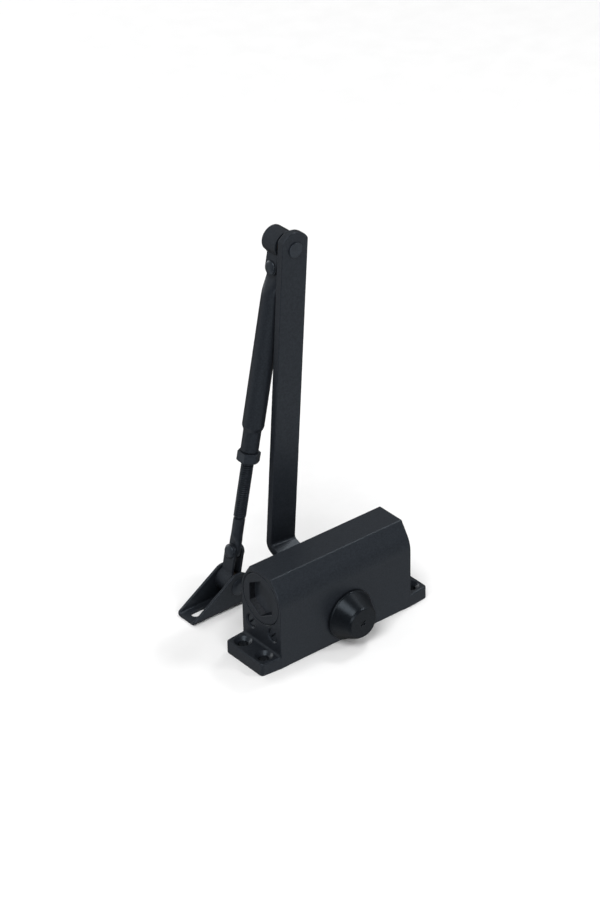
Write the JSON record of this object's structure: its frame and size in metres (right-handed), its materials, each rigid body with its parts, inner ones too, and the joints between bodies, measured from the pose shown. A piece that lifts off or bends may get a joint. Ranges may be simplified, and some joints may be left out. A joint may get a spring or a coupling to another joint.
{
  "type": "door closer",
  "caption": "Surface-mounted rack-and-pinion door closer with a cranked main arm, a length-adjustable forearm and a slotted shoe, standing with its arm upright.",
  "frame": {"origin": "centre of the housing's flat mounting face, which stands on z = 0", "axes": "+X along the housing, away from the adjusting valves; +Y along the pinion axis towards the arm; +Z out of the mounting face"},
  "size_m": [0.1332, 0.1039, 0.2496],
  "materials": {
    "black_paint": "satin powder coat",
    "black_plastic": "satin moulded",
    "blackened_steel": "blackened, satin",
    "ground_steel": "ground",
    "spring_steel": "oiled",
    "brass": "turned",
    "bronze": "sintered",
    "seal_rubber": "matt"
  },
  "bodies": {
    "housing": {"body_casting": "black_paint", "end_plug_front": "black_paint", "end_plug_rear": "black_paint", "plug_seal_front": "seal_rubber", "plug_seal_rear": "seal_rubber", "pinion_retainer_cap_side": "blackened_steel", "pinion_retainer_arm_side": "blackened_steel", "pinion_bearing_cap_side": "bronze", "pinion_bearing_arm_side": "bronze", "pinion_seal_cap_side": "seal_rubber", "pinion_seal_arm_side": "seal_rubber", "thrust_washer_cap_side": "ground_steel", "thrust_washer_arm_side": "ground_steel", "main_spring": "spring_steel", "valve_seal_closing": "seal_rubber", "valve_seal_latching": "seal_rubber"},
    "piston": {"piston": "ground_steel", "check_valve": "brass"},
    "closing_valve": {"valve_screw_closing": "blackened_steel"},
    "latching_valve": {"valve_screw_latching": "blackened_steel"},
    "spindle_and_arm": {"pinion_shaft": "ground_steel", "spindle_cap": "black_plastic", "main_arm": "black_paint", "arm_washer": "blackened_steel", "arm_screw": "blackened_steel", "elbow_rivet": "blackened_steel", "elbow_washer": "blackened_steel"},
    "elbow": {"elbow_knuckle": "black_paint", "elbow_bushing": "bronze", "elbow_cross_rivet": "blackened_steel"},
    "forearm": {"forearm_tube": "black_paint"},
    "lock_nut": {"lock_nut": "blackened_steel"},
    "rod": {"adjuster_rod": "blackened_steel"},
    "shoe_joint": {"shoe_knuckle": "black_paint", "shoe_bushing": "bronze", "shoe_cross_rivet": "blackened_steel"},
    "shoe": {"shoe_bracket": "black_paint", "shoe_pin": "blackened_steel"}
  },
  "joints": [
    {"name": "pinion_turn", "type": "hinge", "parent": "housing", "child": "spindle_and_arm", "pos_m": [0.0016, 0, 0.017], "axis": [0, 1, 0], "range_deg": [0, 120], "stiffness_Nm_per_rad": 4, "springref_deg": -68.75},
    {"name": "piston_slide", "type": "slide", "parent": "housing", "child": "piston", "axis": [1, 0, 0], "range_m": [0, 0.0239], "deforming": ["main_spring"]},
    {"name": "closing_valve_turn", "type": "hinge", "parent": "housing", "child": "closing_valve", "pos_m": [-0.05, 0.0105, 0.0204], "axis": [-1, 0, 0], "range_deg": [-360, 360]},
    {"name": "latching_valve_turn", "type": "hinge", "parent": "housing", "child": "latching_valve", "pos_m": [-0.05, -0.0105, 0.0204], "axis": [-1, 0, 0], "range_deg": [-360, 360]},
    {"name": "elbow_turn", "type": "hinge", "parent": "spindle_and_arm", "child": "elbow", "pos_m": [0.01844, 0.0615, 0.23836], "axis": [0, 1, 0], "range_deg": [-25, 150]},
    {"name": "elbow_tilt", "type": "hinge", "parent": "elbow", "child": "forearm", "pos_m": [0.0151, 0.0615, 0.22261], "axis": [0.9783, 0, -0.2074], "range_deg": [0, 20]},
    {"name": "lock_nut_slide", "type": "slide", "parent": "forearm", "child": "lock_nut", "axis": [-0.2074, 0, -0.9783], "range_m": [0, 0.012]},
    {"name": "rod_slide", "type": "slide", "parent": "forearm", "child": "rod", "axis": [-0.2074, 0, -0.9783], "range_m": [-0.01, 0.02]},
    {"name": "shoe_tilt", "type": "hinge", "parent": "rod", "child": "shoe_joint", "pos_m": [-0.0247, 0.0615, 0.03488], "axis": [0.9783, 0, -0.2074], "range_deg": [-15, 15]},
    {"name": "shoe_turn", "type": "hinge", "parent": "shoe_joint", "child": "shoe", "pos_m": [-0.02899, 0.0615, 0.01463], "axis": [0, 1, 0], "range_deg": [-60, 75]}
  ],
  "couplings": [
    {"joint": "piston_slide", "follows": "pinion_turn", "m_per_rad": 0.011375}
  ]
}
